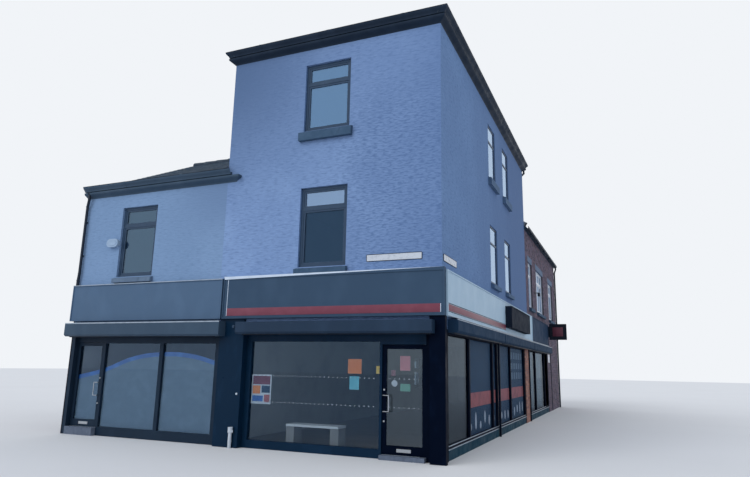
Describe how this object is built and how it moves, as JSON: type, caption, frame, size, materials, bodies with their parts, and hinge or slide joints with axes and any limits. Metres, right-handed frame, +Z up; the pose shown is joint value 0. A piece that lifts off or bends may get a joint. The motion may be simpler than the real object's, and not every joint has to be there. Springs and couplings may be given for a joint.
{
  "type": "corner shop building",
  "caption": "Three-storey rendered corner block with shopfronts on two streets, a two-storey shop wing beside it and a brick extension behind; both shop doors open.",
  "frame": {"origin": "street corner of the walls at ground level, under the corner post", "axes": "+X right along the front, +Y back along the side street, +Z up"},
  "size_m": [10.5, 19.995, 10.4553],
  "materials": {
    "painted_render": "masonry paint on rough render",
    "brickwork": "weathered purple-brown brick",
    "orange_brick": "orange-brown facing brick",
    "roof_slate": "natural slate",
    "black_gutter": "black paint, satin",
    "concrete": "smooth concrete",
    "floor_boards": "plain boards",
    "dark_frames": "anthracite foil",
    "white_frames": "white moulded frames",
    "window_glass": "clear glazing",
    "dark_stone": "painted stone",
    "grey_stone": "painted stone",
    "navy_shopfront": "navy powder coat",
    "grey_shopfront": "dark grey powder coat",
    "stall_panel": "dark teal panel",
    "charcoal_fascia": "charcoal sheet",
    "slate_blue_fascia": "slate blue sheet",
    "pale_fascia": "pale grey sheet",
    "shutter_grey": "galvanised and painted steel",
    "white_enamel": "white enamel with a dark rim",
    "pale_plastic": "pale grey plastic",
    "white_plastic": "white plastic",
    "white_laminate": "white laminate",
    "steel_fittings": "satin stainless steel"
  },
  "bodies": {
    "building": {"corner_front_wall": "painted_render", "corner_side_wall": "painted_render", "corner_rear_wall": "painted_render", "dividing_wall": "painted_render", "wing_front_wall": "painted_render", "wing_rear_wall": "painted_render", "wing_end_wall": "brickwork", "extension_street_wall": "brickwork", "extension_yard_wall": "brickwork", "extension_gable_wall": "brickwork", "corner_roof": "roof_slate", "wing_roof": "roof_slate", "extension_roof": "roof_slate", "corner_cornice": "black_gutter", "wing_gutters": "black_gutter", "extension_gutters": "black_gutter", "ground_floor": "concrete", "first_floor": "floor_boards", "second_floor": "floor_boards", "front_window_frames": "dark_frames", "side_window_frames": "dark_frames", "extension_window_frames": "white_frames", "rear_window_frames": "white_frames", "upper_window_glass": "window_glass", "window_sills": "dark_stone", "extension_lintels": "grey_stone", "corner_pilaster": "navy_shopfront", "corner_post": "navy_shopfront", "shop_window_frame": "navy_shopfront", "shop_window_glass": "window_glass", "front_headers": "navy_shopfront", "wing_post": "grey_shopfront", "wing_shop_frame": "grey_shopfront", "side_shop_frame": "navy_shopfront", "side_shop_glass": "window_glass", "side_stall_riser": "stall_panel", "side_brick_pier": "orange_brick", "front_fascia": "charcoal_fascia", "wing_fascia": "slate_blue_fascia", "side_fascia": "pale_fascia", "extension_fascia": "charcoal_fascia", "front_shutter_boxes": "navy_shopfront", "side_shutter_boxes": "shutter_grey", "shutter_guides": "navy_shopfront", "projecting_sign": "charcoal_fascia", "street_name_plates": "white_enamel", "downpipes": "black_gutter", "waste_pipe": "pale_plastic", "alarm_box": "white_plastic", "door_steps": "concrete", "window_bench": "white_laminate", "door_hinges": "steel_fittings"},
    "corner_door": {"corner_door_leaf": "navy_shopfront", "corner_door_glass": "window_glass", "corner_door_fittings": "steel_fittings"},
    "wing_door": {"wing_door_leaf": "grey_shopfront", "wing_door_glass": "window_glass", "wing_door_fittings": "steel_fittings"}
  },
  "joints": [
    {"name": "corner_door_hinge", "type": "hinge", "parent": "building", "child": "corner_door", "pos_m": [-0.361, 0.183, 0], "axis": [0, 0, -1], "range_deg": [0, 90]},
    {"name": "wing_door_hinge", "type": "hinge", "parent": "building", "child": "wing_door", "pos_m": [-9.483, 0.183, 0], "axis": [0, 0, 1], "range_deg": [0, 90]}
  ]
}
